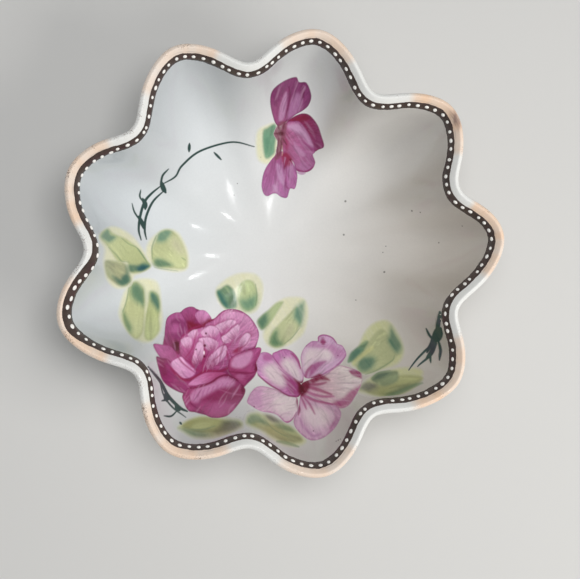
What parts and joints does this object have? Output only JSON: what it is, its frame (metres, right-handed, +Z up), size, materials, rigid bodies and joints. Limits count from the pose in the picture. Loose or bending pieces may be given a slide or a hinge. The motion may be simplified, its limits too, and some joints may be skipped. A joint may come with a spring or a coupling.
{
  "type": "porcelain serving bowl",
  "caption": "Round scalloped serving bowl with fluted lobes, an everted lip, a beaded enamel border and painted flowers, leaves and thorny stems inside.",
  "frame": {"origin": "middle of the foot ring's resting plane, on the bowl's axis", "axes": "+Z up out of the bowl, +X through the crest of the first lobe, +Y towards the side with the half flower"},
  "size_m": [0.2517, 0.2514, 0.068],
  "materials": {
    "porcelain": "gloss",
    "band_enamel": "gloss",
    "bead_enamel": "gloss",
    "rose_enamel": "gloss",
    "pale_petal_enamel": "gloss",
    "leaf_enamel": "gloss",
    "stem_enamel": "gloss"
  },
  "bodies": {
    "root": {"bowl_body": "porcelain", "foot_ring": "porcelain", "rim_band": "band_enamel", "beads_1": "bead_enamel", "beads_2": "bead_enamel", "beads_3": "bead_enamel", "beads_4": "bead_enamel", "beads_5": "bead_enamel", "beads_6": "bead_enamel", "beads_7": "bead_enamel", "beads_8": "bead_enamel", "beads_9": "bead_enamel", "rose": "rose_enamel", "pale_bloom": "pale_petal_enamel", "half_flower": "rose_enamel", "leaf_pair_far_left": "leaf_enamel", "leaf_left": "leaf_enamel", "leaf_lower_left": "leaf_enamel", "leaf_pair_above_rose": "leaf_enamel", "leaf_pair_middle": "leaf_enamel", "leaf_pair_right": "leaf_enamel", "leaf_pair_lower_right": "leaf_enamel", "leaf_below_rose": "leaf_enamel", "leaf_below_bloom": "leaf_enamel", "leaf_behind_half_flower": "leaf_enamel", "stem_upper_left": "stem_enamel", "stem_lower_left": "stem_enamel", "stem_right": "stem_enamel"}
  },
  "joints": []
}
